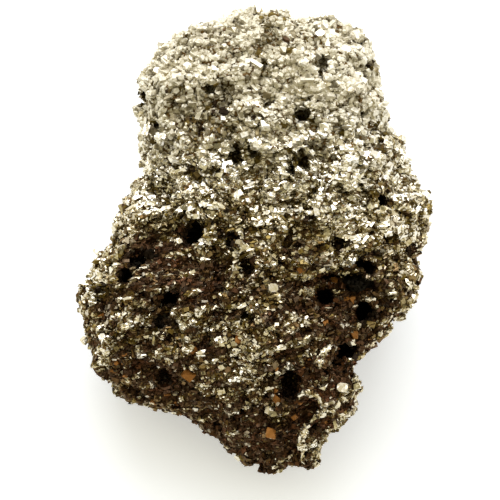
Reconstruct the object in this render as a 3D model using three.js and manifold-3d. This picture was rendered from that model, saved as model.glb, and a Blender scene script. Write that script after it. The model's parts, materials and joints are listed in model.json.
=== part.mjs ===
// Raw pyrite: one lump of small crystals that grew together, with ledges, hollows and open pits.
// It lies on a small flat spot on its underside, with its best side, here called the face, turned up.
// Millimetres, +Z up. The face leans towards -Y, and the origin is the middle of the base.

import * as THREE from "three";
import { ConvexGeometry } from "three/addons/geometries/ConvexGeometry.js";
import { ImprovedNoise } from "three/addons/math/ImprovedNoise.js";
import { MeshSurfaceSampler } from "three/addons/math/MeshSurfaceSampler.js";
import { mergeVertices } from "three/addons/utils/BufferGeometryUtils.js";
import Module from "manifold-3d";

// The whole lump
const FACE_WIDTH = 45.4;
const FACE_HEIGHT = 58.9;
const FRONT_RISE = 12.5; // from the widest section up to the middle of the face
const BACK_DROP = 15.5; // from the widest section down to the underside, behind the middle
const THIN_EDGE = 4; // least drop, at the thin lower end of the face
const BOXINESS = 2.7; // 2 is an ellipsoid, and more is squarer at the shoulders
const EVENING_TURNS = [-0.36, -0.18, 0, 0.18, 0.36]; // radians, over which the outline is evened
const REACH = new THREE.Vector3(FACE_WIDTH / 2, FACE_HEIGHT / 2, (FRONT_RISE + BACK_DROP) / 2);
const FACE_LEAN = THREE.MathUtils.degToRad(20); // between the face and the level it rests on
const FLAT_SPOT_CUT = 1.5; // worn off the lowest point of the underside

// The skin of the lump
const FACE_SPACING = 1.28; // least distance between two corners of the skin on the face
const BACK_SPACING = 1.75; // and on the sides and the underside
const CORNER_TRIES = 40000; // enough to fill the gaps between the corners
const BALL_DETAIL = 20; // of the fine ball that the corners are first spread over
const GRAIN_RELIEF = 0.45; // how far one corner of the skin stands off its neighbours
const LUMP_SPACING = 5.6;
const LUMP_RELIEF = 1.5;
const LUMP_LEVEL = 0.35; // square of the share of the spacing at which a lump meets the plain form
const LEDGE_STEP = 4.4; // from one ledge to the next, up the face
const LEDGE_RELIEF = 1.1;
const LEDGE_SLOPE = 0.8; // share of a step that slopes out, before it drops back
const LEDGE_TILT = THREE.MathUtils.degToRad(11); // the ledges rise to the right
const LEDGE_DIP = 0.35; // how far a ledge moves up the face for each unit of depth
const WANDER_SCALE = 9;
const WANDER = 1.6; // how far a ledge strays from its line
const SWELL_SCALE = 13; // of the broad uneven swells
const SWELL_RELIEF = 1.6;
const RIM_RELIEF = 0.35; // share of the relief at the widest section, which keeps to the outline
const RIM_DEPTH = 8; // from the widest section to where the relief is whole

// Crystals that stand out of the skin
const CRYSTAL_COUNT = 104;
const CRYSTAL_SMALL = 1.5; // across
const CRYSTAL_LARGE = 3.0;
const CRYSTAL_SUNK = 0.3; // share of its size that its middle lies under the skin
const PYRITOHEDRON_ROOF = 0.5; // height of the ridge over each cube face, for a half cube of 1
const PYRITOHEDRON_SCALE = 0.36; // makes one about as big as a cube of 1
const CUBE_SHARE = 0.75; // of the crystals, the others are pyritohedra
const CRYSTAL_NARROWEST = 0.75; // of its length

const PIT_UNEVENNESS = 0.22; // of the corners of a pit's mouth

// Pits of the sides and the underside, which are like those of the face
const BACK_PIT_COUNT = 11;
const BACK_PIT_WIDTH = 2.0;
const BACK_PIT_DEPTH = 3.6;
const BACK_PIT_STRETCH = 1.8; // most that a pit is longer than wide
const BACK_PIT_FACING = 0.2; // most that its outward direction may turn up

const SEED = 1213;

// The face's outline: x to the right and y up the face, from its middle.
const OUTLINE = [
  [0.3, 29.45], [4.6, 28.9], [5.3, 27.3], [7.2, 28.1], [12.1, 27.6], [15.0, 25.2], [15.8, 21.4],
  [15.4, 19.4], [16.6, 17.0], [17.3, 13.2], [19.2, 12.2], [19.6, 8.3], [21.2, 5.9], [22.7, 3.1],
  [22.0, 0.4], [20.5, -2.0], [20.8, -5.1], [19.6, -8.0], [17.9, -10.6], [15.2, -13.6],
  [14.7, -15.1], [12.7, -15.6], [13.3, -19.6], [11.4, -22.1], [8.4, -25.2], [7.9, -28.3],
  [3.7, -29.45], [-1.7, -28.8], [-3.9, -26.6], [-6.5, -23.6], [-11.0, -21.2], [-16.2, -20.4],
  [-19.2, -17.3], [-21.1, -12.6], [-22.5, -8.0], [-22.7, -6.2], [-19.7, -3.6], [-17.7, -0.3],
  [-16.9, 3.3], [-15.2, 4.9], [-13.4, 8.2], [-14.2, 11.0], [-13.9, 13.9], [-14.8, 16.2],
  [-14.0, 18.0], [-14.8, 20.2], [-12.6, 22.4], [-10.9, 25.0], [-8.9, 26.7], [-4.9, 26.9],
  [-2.9, 28.6],
];

// Broad hollows of the face: [x, y, radius, depth]. A negative depth is a swelling.
const HOLLOWS = [
  [-10.4, -1.6, 6.0, 2.5], [-11.0, -8.8, 4.2, 1.4], [11.6, -6.6, 5.4, 2.1], [11.6, -13.6, 3.8, 1.8],
  [-14.0, -17.6, 5.6, 1.8], [19.6, 8.4, 4.6, 3.4], [19.4, -1.0, 3.6, 2.0], [1.6, -22.8, 4.4, 1.0],
  [-1.0, 9.6, 4.0, 1.0], [6.8, 14.6, 3.6, 0.9], [-13.6, 20.2, 2.8, -1.3], [-16.8, -11.4, 4.6, -1.3],
  [9.6, -21.4, 3.4, -1.4], [1.8, -13.2, 5.4, -1.2], [9.6, 20.6, 6.0, -1.0], [-5.6, 5.0, 5.0, -0.9],
];

// Pits of the face: [x, y, width, length, turn, depth], with the turn in degrees from upright.
const PITS = [
  [6.0, 15.0, 2.1, 2.5, 0, 5.0], [8.4, 21.5, 1.4, 2.9, 8, 4.0], [1.2, 21.0, 1.1, 1.7, 0, 3.0],
  [-2.0, 10.1, 2.2, 2.2, 0, 5.0], [-0.2, 10.6, 1.8, 1.6, 0, 3.2], [6.0, 9.1, 1.7, 3.1, 14, 4.0],
  [9.0, 8.0, 1.1, 1.8, 90, 3.0], [-7.2, 1.0, 2.1, 3.7, -26, 5.0], [-2.6, -0.1, 1.3, 2.5, -10, 4.0],
  [-14.1, -2.1, 1.5, 2.6, -65, 4.0], [-15.4, -4.4, 1.7, 2.6, -24, 4.0], [-10.0, -7.3, 1.7, 3.4, -30, 5.0],
  [-11.3, -10.1, 1.4, 2.6, -24, 4.0], [-0.8, -3.3, 1.7, 2.0, -30, 4.0], [10.3, -0.5, 1.9, 1.9, 30, 4.0],
  [14.0, -3.5, 1.6, 2.1, 90, 3.6], [8.8, -7.0, 2.0, 2.4, 70, 4.5], [12.0, -5.4, 1.5, 2.4, 90, 3.4],
  [13.5, -9.0, 2.4, 3.0, 0, 6.0], [4.4, -17.6, 2.0, 4.4, -8, 6.0], [-10.8, -16.9, 1.5, 1.7, 20, 3.0],
  [-6.9, -17.1, 1.1, 2.1, 0, 3.0], [-5.2, 18.0, 1.5, 1.7, 0, 3.2], [-2.5, 19.3, 1.1, 2.2, 90, 2.8],
  [-12.0, 13.4, 1.3, 1.8, 20, 3.0], [-7.7, 13.2, 1.4, 1.4, 0, 3.0], [17.0, 0.0, 2.0, 2.0, 0, 2.4],
  [11.6, -13.7, 2.1, 2.0, 0, 3.6],
];

const wasm = await Module();
wasm.setup();
const noise = new ImprovedNoise();

// A random number from 0 to 1, the same in each run
function random() {
  return THREE.MathUtils.seededRandom();
}

function between(low, high) {
  return low + (high - low) * random();
}

// A geometry of places alone, with its shared corners joined
function bareGeometry(geometry) {
  const bare = new THREE.BufferGeometry();
  bare.setAttribute("position", geometry.getAttribute("position"));
  bare.setIndex(geometry.getIndex());
  return mergeVertices(bare, 1e-4);
}

// A closed geometry as a solid that can be cut and joined
function solidOf(geometry) {
  const merged = bareGeometry(geometry);
  return new wasm.Manifold(
    new wasm.Mesh({
      numProp: 3,
      vertProperties: merged.getAttribute("position").array,
      triVerts: new Uint32Array(merged.getIndex().array),
    }),
  );
}

function geometryOf(solid) {
  const made = solid.getMesh();
  const geometry = new THREE.BufferGeometry();
  geometry.setAttribute("position", new THREE.BufferAttribute(made.vertProperties, 3));
  geometry.setIndex(new THREE.BufferAttribute(made.triVerts, 1));
  geometry.computeVertexNormals();
  return geometry;
}

// How far the outline is from the middle of the face, in the direction of an angle
function outlineRadius(angle) {
  const [ux, uy] = [Math.cos(angle), Math.sin(angle)];
  let radius = 0;
  OUTLINE.forEach(([ax, ay], i) => {
    const [bx, by] = OUTLINE[(i + 1) % OUTLINE.length];
    const turn = ux * (by - ay) - uy * (bx - ax);
    const reach = (ax * (by - ay) - ay * (bx - ax)) / turn;
    const along = (ax * uy - ay * ux) / turn; // 0 at the edge's first end and 1 at its other end
    if (reach > radius && Math.abs(along - 0.5) < 0.5 + 1e-6) radius = reach;
  });
  return radius;
}

// The outline without its outward corners, which don't run far up or down the sides
function evenRadius(angle) {
  const radii = EVENING_TURNS.map((turn) => outlineRadius(angle + turn));
  const mean = radii.reduce((sum, radius) => sum + radius, 0) / radii.length;
  return Math.min(mean, outlineRadius(angle));
}

// Over 1 outside the plain form, which has neither lumps nor ledges
function plainForm(x, y, z) {
  const angle = Math.atan2(y, x);
  const depth = z > 0 ? FRONT_RISE : Math.max(THIN_EDGE, BACK_DROP + y * Math.tan(FACE_LEAN));
  const height = Math.min(1, Math.abs(z) / depth);
  const radius = THREE.MathUtils.lerp(outlineRadius(angle), evenRadius(angle), height);
  return (Math.hypot(x, y) / radius) ** BOXINESS + (Math.abs(z) / depth) ** BOXINESS;
}

// The point of the plain form's surface that lies in a direction from its middle
function plainSurface(direction) {
  let inside = 0;
  let outside = FACE_HEIGHT;
  while (outside - inside > 1e-5) {
    const half = (inside + outside) / 2;
    const at = direction.clone().multiplyScalar(half);
    if (plainForm(at.x, at.y, at.z) > 1) outside = half;
    else inside = half;
  }
  return direction.clone().multiplyScalar(inside);
}

// A number from 0 to 1 that belongs to one cell of a grid
function cellNumber(i, j, k, which) {
  const wave = Math.sin(i * 127.1 + j * 311.7 + k * 74.7 + which * 53.3) * 43758.5453;
  return wave - Math.floor(wave);
}

// Rounded lumps: how far the nearest lump's middle is, as a share of the spacing
function lumpDistance(p) {
  const cell = [p.x, p.y, p.z].map((v) => Math.floor(v / LUMP_SPACING));
  let nearest = Infinity;
  for (let i = cell[0] - 1; i <= cell[0] + 1; i++)
    for (let j = cell[1] - 1; j <= cell[1] + 1; j++)
      for (let k = cell[2] - 1; k <= cell[2] + 1; k++) {
        const middle = [i, j, k].map((v, n) => (v + cellNumber(i, j, k, n)) * LUMP_SPACING);
        nearest = Math.min(nearest, Math.hypot(p.x - middle[0], p.y - middle[1], p.z - middle[2]));
      }
  return nearest / LUMP_SPACING;
}

// Ledges: each slopes out gently and then drops back in one step
function ledge(p) {
  const wander = WANDER * noise.noise(p.x / WANDER_SCALE, p.y / WANDER_SCALE, p.z / WANDER_SCALE);
  const up = p.y * Math.cos(LEDGE_TILT) - p.x * Math.sin(LEDGE_TILT) + LEDGE_DIP * p.z + wander;
  const along = THREE.MathUtils.euclideanModulo(up / LEDGE_STEP, 1);
  if (along < LEDGE_SLOPE) return 0.5 - along / LEDGE_SLOPE;
  return (along - LEDGE_SLOPE) / (1 - LEDGE_SLOPE) - 0.5;
}

// Broad uneven swells, from about -1 to 1
function swell(p) {
  return noise.noise(p.x / SWELL_SCALE, p.y / SWELL_SCALE, p.z / SWELL_SCALE);
}

function hollowDepth(p) {
  if (p.z < 0) return 0;
  const depths = HOLLOWS.map(([x, y, radius, depth]) => {
    const share = Math.hypot(p.x - x, p.y - y) / radius;
    return share < 1 ? depth * (1 - share * share) ** 2 : 0;
  });
  return depths.reduce((sum, depth) => sum + depth, 0);
}

// How far the skin stands off the plain form
function relief(p) {
  const lump = LUMP_LEVEL - lumpDistance(p) ** 2;
  const whole = LUMP_RELIEF * lump + SWELL_RELIEF * swell(p) + LEDGE_RELIEF * ledge(p) - hollowDepth(p);
  return whole * THREE.MathUtils.mapLinear(Math.min(Math.abs(p.z), RIM_DEPTH), 0, RIM_DEPTH, RIM_RELIEF, 1);
}

// Moves each corner of a ball to the plain form, and gives back the same geometry
function drawnOut(ball) {
  const corners = ball.getAttribute("position");
  for (let i = 0; i < corners.count; i++) {
    const direction = new THREE.Vector3().fromBufferAttribute(corners, i).multiply(REACH).normalize();
    const at = plainSurface(direction);
    corners.setXYZ(i, at.x, at.y, at.z);
  }
  return ball;
}

// Places spread over the plain form at random, none too near to another
function spreadCorners() {
  const form = drawnOut(bareGeometry(new THREE.IcosahedronGeometry(1, BALL_DETAIL)));
  const sampler = new MeshSurfaceSampler(new THREE.Mesh(form)).setRandomGenerator(random).build();
  const kept = [];
  for (let i = 0; i < CORNER_TRIES; i++) {
    const at = new THREE.Vector3();
    sampler.sample(at);
    const spacing = at.z > 0 ? FACE_SPACING : BACK_SPACING;
    if (kept.every((other) => other.distanceTo(at) > spacing)) kept.push(at);
  }
  return kept;
}

// The lump's skin: a net of uneven facets, drawn out to the plain form and roughened corner by corner
function makeSkin() {
  const directions = spreadCorners().map((at) => at.divide(REACH).normalize());
  const skin = drawnOut(bareGeometry(new ConvexGeometry(directions)));
  const corners = skin.getAttribute("position");
  for (let i = 0; i < corners.count; i++) {
    const at = new THREE.Vector3().fromBufferAttribute(corners, i);
    const outward = at.clone().divide(REACH).divide(REACH).normalize();
    at.addScaledVector(outward, relief(at) + between(-GRAIN_RELIEF, GRAIN_RELIEF));
    corners.setXYZ(i, at.x, at.y, at.z);
  }
  return skin;
}

// A pyritohedron: twelve five-sided faces, on a half cube of 1
function pyritohedron() {
  const points = [];
  for (const a of [-1, 1])
    for (const b of [-1, 1]) {
      const [end, side] = [a * (1 + PYRITOHEDRON_ROOF), b * (1 - PYRITOHEDRON_ROOF ** 2)];
      points.push([0, end, side], [end, side, 0], [side, 0, end], [1, a, b], [-1, a, b]);
    }
  return new ConvexGeometry(points.map(([x, y, z]) => new THREE.Vector3(x, y, z)));
}

// One crystal of a size across, turned anyhow
function crystal(size) {
  const cubic = random() < CUBE_SHARE;
  const shape = cubic ? new THREE.BoxGeometry(1, 1, 1) : pyritohedron();
  if (!cubic) shape.scale(PYRITOHEDRON_SCALE, PYRITOHEDRON_SCALE, PYRITOHEDRON_SCALE);
  shape.scale(size, size * between(CRYSTAL_NARROWEST, 1), size * between(CRYSTAL_NARROWEST, 1));
  const turn = new THREE.Euler(between(0, Math.PI), between(0, Math.PI), between(0, Math.PI));
  return shape.applyMatrix4(new THREE.Matrix4().makeRotationFromEuler(turn));
}

// Adds crystals all over the skin, mostly small ones
function withCrystals(lump, skin) {
  const sampler = new MeshSurfaceSampler(new THREE.Mesh(skin)).setRandomGenerator(random).build();
  const at = new THREE.Vector3();
  const outward = new THREE.Vector3();
  let grown = lump;
  for (let i = 0; i < CRYSTAL_COUNT; i++) {
    sampler.sample(at, outward);
    const size = CRYSTAL_SMALL + (CRYSTAL_LARGE - CRYSTAL_SMALL) * random() ** 2;
    at.addScaledVector(outward, -CRYSTAL_SUNK * size);
    grown = grown.add(solidOf(crystal(size).translate(at.x, at.y, at.z)));
  }
  return grown;
}

// The tool that cuts one pit: an uneven spindle with its middle in the skin and its axis along Z
function pitTool(width, length, depth) {
  const tool = bareGeometry(new THREE.IcosahedronGeometry(1, 0)).rotateZ(between(0, Math.PI));
  const corners = tool.getAttribute("position");
  for (let i = 0; i < corners.count; i++) {
    const stretch = between(1 - PIT_UNEVENNESS, 1 + PIT_UNEVENNESS);
    corners.setXY(i, corners.getX(i) * stretch, corners.getY(i) * stretch);
  }
  return tool.scale(width / 2, length / 2, depth);
}

// Where a line along the face's Z meets the skin from in front
function skinAt(skinMesh, x, y) {
  const ray = new THREE.Raycaster(new THREE.Vector3(x, y, FACE_HEIGHT), new THREE.Vector3(0, 0, -1));
  const [hit] = ray.intersectObject(skinMesh);
  return hit.point;
}

function withFacePits(lump, skin) {
  const skinMesh = new THREE.Mesh(skin, new THREE.MeshBasicMaterial());
  return PITS.reduce((cut, [x, y, width, length, turn, depth]) => {
    const mouth = skinAt(skinMesh, x, y);
    const tool = pitTool(width, length, depth).rotateZ(THREE.MathUtils.degToRad(turn));
    return cut.subtract(solidOf(tool.translate(mouth.x, mouth.y, mouth.z)));
  }, lump);
}

function withBackPits(lump, skin) {
  const sampler = new MeshSurfaceSampler(new THREE.Mesh(skin)).setRandomGenerator(random).build();
  const at = new THREE.Vector3();
  const outward = new THREE.Vector3();
  const up = new THREE.Vector3(0, 0, 1);
  let cut = lump;
  for (let made = 0; made < BACK_PIT_COUNT; ) {
    sampler.sample(at, outward);
    if (outward.z > BACK_PIT_FACING) continue;
    const length = BACK_PIT_WIDTH * between(1, BACK_PIT_STRETCH);
    const tool = pitTool(BACK_PIT_WIDTH, length, BACK_PIT_DEPTH);
    tool.applyQuaternion(new THREE.Quaternion().setFromUnitVectors(up, outward));
    cut = cut.subtract(solidOf(tool.translate(at.x, at.y, at.z)));
    made++;
  }
  return cut;
}

// Leans the lump as it lies and cuts the small flat spot it rests on
function laidDown(lump) {
  const leaned = solidOf(geometryOf(lump).rotateX(FACE_LEAN));
  const low = leaned.boundingBox().min[2] + FLAT_SPOT_CUT;
  const ground = new THREE.BoxGeometry(2 * FACE_HEIGHT, 2 * FACE_HEIGHT, FACE_HEIGHT);
  return leaned.subtract(solidOf(ground.translate(0, 0, low - FACE_HEIGHT / 2)));
}

// The largest body of a solid, without any chip that a cut has left loose
function largestBody(solid) {
  return solid.decompose().reduce((a, b) => (a.volume() > b.volume() ? a : b));
}

function makeLump() {
  THREE.MathUtils.seededRandom(SEED);
  const skin = makeSkin();
  const grown = withCrystals(solidOf(skin), skin);
  const pitted = withBackPits(withFacePits(grown, skin), skin);
  const geometry = geometryOf(largestBody(laidDown(pitted)));
  geometry.computeBoundingBox();
  const { min, max } = geometry.boundingBox;
  return geometry.translate(-(min.x + max.x) / 2, -(min.y + max.y) / 2, -min.z);
}

const brassyYellow = new THREE.MeshStandardMaterial({
  color: 0xb3a77e,
  metalness: 0.9,
  roughness: 0.42,
  flatShading: true,
});

const specimen = new THREE.Group();
const pyrite = new THREE.Mesh(makeLump(), brassyYellow);
pyrite.name = "pyrite_lump";
specimen.add(pyrite);

export default specimen;
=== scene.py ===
# %% [markdown]
# # Raw pyrite: one lump of small crystals
#
# Pyrite is iron sulphide, a brassy metal-like mineral. In a granular lump such as this, thousands of
# crystals have grown into each other, so the surface is all small flat faces. Some catch the light and
# flash, and the gaps and open pits between them stay dark.
#
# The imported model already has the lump's real size and form. A mesh of crystals could be sculpted,
# displaced from one surface, or grown from separate small solids. Displacement rounds the edges off, so
# here a body carries tens of thousands of real, sharp-edged crystals, sunk into it and into each other.

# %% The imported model
import json
import math
from dataclasses import dataclass

import bmesh
import bpy
import numpy as np
from mathutils import Matrix, Vector, noise
from mathutils.bvhtree import BVHTree
from mathutils.kdtree import KDTree

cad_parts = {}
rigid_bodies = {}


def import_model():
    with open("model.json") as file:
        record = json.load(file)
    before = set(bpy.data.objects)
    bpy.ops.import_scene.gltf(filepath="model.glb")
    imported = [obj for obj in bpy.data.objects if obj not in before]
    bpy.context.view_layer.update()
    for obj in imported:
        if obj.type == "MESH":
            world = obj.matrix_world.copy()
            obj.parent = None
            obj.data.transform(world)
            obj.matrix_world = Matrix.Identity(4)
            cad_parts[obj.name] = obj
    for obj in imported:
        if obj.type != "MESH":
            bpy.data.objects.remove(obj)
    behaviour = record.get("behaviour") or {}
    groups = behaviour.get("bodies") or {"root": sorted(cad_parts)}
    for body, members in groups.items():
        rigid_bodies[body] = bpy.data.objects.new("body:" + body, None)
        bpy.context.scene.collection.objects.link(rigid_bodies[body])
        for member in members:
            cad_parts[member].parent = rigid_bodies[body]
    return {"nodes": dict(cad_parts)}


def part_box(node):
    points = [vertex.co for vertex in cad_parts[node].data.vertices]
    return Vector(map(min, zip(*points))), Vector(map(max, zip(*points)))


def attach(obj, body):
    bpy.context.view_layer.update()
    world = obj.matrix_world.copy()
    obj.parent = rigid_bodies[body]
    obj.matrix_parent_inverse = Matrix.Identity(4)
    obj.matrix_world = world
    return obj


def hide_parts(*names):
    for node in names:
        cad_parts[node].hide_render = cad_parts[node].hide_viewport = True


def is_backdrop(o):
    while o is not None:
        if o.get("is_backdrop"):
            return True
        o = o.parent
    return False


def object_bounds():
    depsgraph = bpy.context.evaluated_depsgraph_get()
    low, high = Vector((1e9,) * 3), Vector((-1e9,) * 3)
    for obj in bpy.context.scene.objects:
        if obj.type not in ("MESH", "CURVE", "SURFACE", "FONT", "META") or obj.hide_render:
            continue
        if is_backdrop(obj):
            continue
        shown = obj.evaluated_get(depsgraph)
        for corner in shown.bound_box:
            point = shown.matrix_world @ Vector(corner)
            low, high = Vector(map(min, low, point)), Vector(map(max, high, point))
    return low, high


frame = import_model()
cad_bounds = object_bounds()

MM = 0.001
MEAN = 0.5  # of numbers that are spread evenly from 0 to 1
SEED = 41
LUMP = "pyrite_lump"
low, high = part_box(LUMP)
middle = (low + high) / 2
print("the lump is", [round(side / MM, 1) for side in high - low], "mm")

# %% [markdown]
# ## The camera
#
# The photograph looks straight at the broad face. The lump is laid down with that face up, leaning 20
# degrees towards -Y, so the camera looks down on it from 70 degrees. A close camera makes near things
# larger, so the lens is not guessed: the lump's corners are projected, and the lens and the aim are set
# so that they fill the same part of the picture as in the photograph. Each pass gets closer, because
# moving the aim changes the distances a little.

# %% The camera
FACE_LEAN = math.radians(20)
VIEW_DISTANCE = 200 * MM
PHOTO_SIDE = 500  # pixels
LUMP_LEFT = 72.8  # pixels of the photograph, as are the next three
LUMP_RIGHT = 435.8
LUMP_TOP = 5.0
LUMP_BOTTOM = 476.0
FILM_WIDTH = 36.0
AIM_PASSES = 4
NEAREST_SEEN = 10 * MM

image_right = Vector((1, 0, 0))
image_up = Vector((0, math.cos(FACE_LEAN), math.sin(FACE_LEAN)))
toward_camera = Vector((0, -math.sin(FACE_LEAN), math.cos(FACE_LEAN)))
corners = np.array([v.co[:] for v in frame["nodes"][LUMP].data.vertices])


def seen_span(aim):
    """Lowest and highest place of the lump in the picture, for a camera one unit in front of it."""
    away = corners - np.array(aim)
    depth = VIEW_DISTANCE - away @ np.array(toward_camera)
    across = away @ np.array(image_right) / depth
    up = away @ np.array(image_up) / depth
    return Vector((across.min(), up.min())), Vector((across.max(), up.max()))


aim = middle.copy()
for _ in range(AIM_PASSES):
    seen_low, seen_high = seen_span(aim)
    pixels = (LUMP_BOTTOM - LUMP_TOP) / (seen_high.y - seen_low.y)
    off_right = (LUMP_LEFT + LUMP_RIGHT - PHOTO_SIDE) / 2 / pixels
    off_up = (PHOTO_SIDE - LUMP_TOP - LUMP_BOTTOM) / 2 / pixels
    aim += VIEW_DISTANCE * ((seen_low.x + seen_high.x) / 2 - off_right) * image_right
    aim += VIEW_DISTANCE * ((seen_low.y + seen_high.y) / 2 - off_up) * image_up

camera = bpy.data.objects.new("camera", bpy.data.cameras.new("camera"))
bpy.context.scene.collection.objects.link(camera)
bpy.context.scene.camera = camera
turned = Matrix((image_right, image_up, toward_camera)).transposed().to_4x4()
camera.matrix_world = Matrix.Translation(aim + VIEW_DISTANCE * toward_camera) @ turned
camera.data.sensor_width = FILM_WIDTH
camera.data.lens = FILM_WIDTH * pixels / PHOTO_SIDE
camera.data.clip_start = NEAREST_SEEN
print("lens", round(camera.data.lens, 1), "mm")
print("one pixel at the aim is", round(VIEW_DISTANCE / pixels / MM, 3), "mm")

# %% [markdown]
# ## The body under the crystals
#
# Under its crystals the lump is solid, and that body carries all of them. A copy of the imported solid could
# be subdivided, but its uneven facets would give uneven faces, some of them long and thin. The voxel
# remesher makes small even faces all over, which can then be roughened point by point.

# %% Helpers for meshes
def made_piece(name, mesh):
    piece = bpy.data.objects.new(name, mesh)
    bpy.context.scene.collection.objects.link(piece)
    return piece


def mesh_of(shape, name):
    """A finished bmesh as a mesh."""
    mesh = bpy.data.meshes.new(name)
    shape.to_mesh(mesh)
    shape.free()
    return mesh


def make_permanent(piece):
    """Puts what a piece's modifiers make into its mesh."""
    graph = bpy.context.evaluated_depsgraph_get()
    mesh = bpy.data.meshes.new_from_object(piece.evaluated_get(graph))
    piece.modifiers.clear()
    piece.data = mesh


def places_of(mesh):
    flat = np.empty(3 * len(mesh.vertices))
    mesh.vertices.foreach_get("co", flat)
    return flat.reshape(-1, 3)


def normals_of(mesh):
    flat = np.empty(3 * len(mesh.vertices))
    mesh.vertex_normals.foreach_get("vector", flat)
    return flat.reshape(-1, 3)


def store(mesh, name, values):
    """Keeps one number for each point of a mesh, for a material to read."""
    mesh.attributes.new(name, "FLOAT", "POINT").data.foreach_set("value", values.astype(np.float32))


def tree_of(mesh):
    shape = bmesh.new()
    shape.from_mesh(mesh)
    tree = BVHTree.FromBMesh(shape)
    shape.free()
    return tree


# %% The body's even mesh
BODY_FACE = 0.38 * MM
SAME_CORNER = 0.001 * MM  # corners nearer than this are joined


def body_mesh():
    merged = bmesh.new()
    merged.from_mesh(frame["nodes"][LUMP].data)
    bmesh.ops.remove_doubles(merged, verts=merged.verts, dist=SAME_CORNER)
    return mesh_of(merged, "body")


body = made_piece("pyrite_body", body_mesh())
solid_tree = tree_of(body.data)
remesh = body.modifiers.new("even faces", "REMESH")
remesh.mode = "VOXEL"
remesh.voxel_size = BODY_FACE
make_permanent(body)
print("body:", len(body.data.polygons), "faces")


# %% Places of the photograph on the lump
def on_face(pixel_x, pixel_y, tree):
    """The place and the normal that the photograph shows at a pixel, or the nearest to it."""
    across = (pixel_x - PHOTO_SIDE / 2) / pixels
    up = (PHOTO_SIDE / 2 - pixel_y) / pixels
    ray = across * image_right + up * image_up - toward_camera
    place, normal = tree.ray_cast(camera.matrix_world.translation, ray)[:2]
    if place is None:
        place, normal = tree.find_nearest(camera.matrix_world.translation + VIEW_DISTANCE * ray)[:2]
    return place, normal


def spot_at(pixel_x, pixel_y):
    """The place on the solid that the photograph shows at a pixel."""
    return np.array(on_face(pixel_x, pixel_y, solid_tree)[0])


face_middle = spot_at(PHOTO_SIDE / 2, PHOTO_SIDE / 2)
print("the photograph's middle is", round(face_middle[2] / MM, 1), "mm above the floor")


# %% [markdown]
# ## How open each place is
#
# Pits and gaps are darkened in the colour, with dirt and brown tarnish and with painted shade, and the
# crystals on the high places are rubbed clean. Both need to know how shut in a place is. Ambient occlusion
# in the shader would tell, but it is slow and an export loses it. So rays are cast here from each point of
# the body, and the share that gets away is kept on the mesh as an attribute, which the crystals take over
# from the place they grow on, and from which the finish paints shade. The same measure, taken here before
# the body is roughened, tells the walls of the pits, which stay as they are.

# %% How open a place is
RAY_COUNT = 28
RAY_REACH = 4 * MM
RAY_START = 0.1 * MM
RAY_LIFT = 0.1  # least rise of a ray off the skin


def ball_directions(number):
    """Directions spread evenly over a ball, on a spiral from pole to pole."""
    steps = np.arange(number) + 0.5
    rise = 1 - 2 * steps / number
    turn = steps * math.pi * (3 - math.sqrt(5))
    flat = np.sqrt(1 - rise**2)
    return [Vector(d) for d in zip(flat * np.cos(turn), flat * np.sin(turn), rise)]


def openness_of(mesh):
    """Share of the rays from each point that meet nothing near."""
    tree = tree_of(mesh)
    rays = ball_directions(RAY_COUNT)
    shares = []
    for place, normal in zip(places_of(mesh), normals_of(mesh)):
        outward = Vector(normal)
        start = Vector(place) + RAY_START * outward
        upper = [ray for ray in rays if ray.dot(outward) > RAY_LIFT]
        free = [ray for ray in upper if tree.ray_cast(start, ray, RAY_REACH)[0] is None]
        shares.append(len(free) / len(upper))
    return np.array(shares)


def print_spread(name, values):
    print(name, "at 10, 50 and 90 percent:", np.percentile(values, (10, 50, 90)).round(2))


solid_open = openness_of(body.data)
print_spread("openness of the solid", solid_open)

# %% [markdown]
# ## The body's roughness
#
# On the real lump the crystals sit in clusters with creases between them, and in low rows that cross the
# face and rise to the right. Displace modifiers could do part of it, but they can't tilt each cluster its
# own way. So each point moves along its normal by a sum of heights, worked out in Python: cellular noise
# makes the clusters, here called knobs, a saw's teeth make the rows, and fine noise lies on top. The
# middle of the face is rougher than its ends.

# %% Knobs
KNOB = 2.4 * MM
KNOB_HEIGHT = 0.65 * MM
KNOB_SHOULDER = 0.3  # of a knob's width
KNOB_TILT = 0.8
KNOB_STEP = 0.3 * MM
WANDER_SCALE = 1.3 * MM
WANDER = 0.5 * MM
WANDER_STARTS = (Vector((0, 0, 0)), Vector((31.4, 7.7, 2.9)), Vector((5.3, 19.1, 53.6)))
LOST_KNOBS = 0.05  # share of the knobs that have come off
LOST_DEPTH = 0.5 * MM
TILT_KEY = 37.1  # these two spread the knobs over cells of the noise that have nothing in common
CHANCE_KEY = 53.7


def wander(place):
    """A smooth random step, the same each time. noise_vector would change from run to run."""
    return WANDER * Vector([noise.noise(place / WANDER_SCALE + start) for start in WANDER_STARTS])


def knob_height(place, normal):
    """Clusters of crystals with creases between them. Some clusters have come off."""
    wandered = place + wander(place)
    distances, centres = noise.voronoi(wandered / KNOB)
    shoulder = min((distances[1] - distances[0]) / KNOB_SHOULDER, 1)
    crease = KNOB_HEIGHT * (shoulder * (2 - shoulder) - 1)
    tilt = noise.cell_vector(centres[0] * TILT_KEY) - Vector((MEAN, MEAN, MEAN))
    tilt -= tilt.project(normal)
    slope = KNOB_TILT * tilt.dot(wandered - centres[0] * KNOB)
    chance = noise.cell(centres[0] * CHANCE_KEY)
    lost = LOST_DEPTH if chance < LOST_KNOBS else 0
    return crease + slope + KNOB_STEP * (chance - MEAN) - lost


# %% Rows
ROW_STEP = 1.7 * MM
ROW_HEIGHT = 0.55 * MM
ROW_RISE = math.radians(14)  # the rows of crystals rise to the right
ROW_SWAY = 1.2  # steps that a row may stray from its line
ROW_SWAY_SCALE = 5.5 * MM
ROW_STRENGTH = 0.6
ROW_VARIETY = 0.8  # how much stronger or weaker the rows get from patch to patch
ROW_PATCH = 9 * MM


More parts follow.
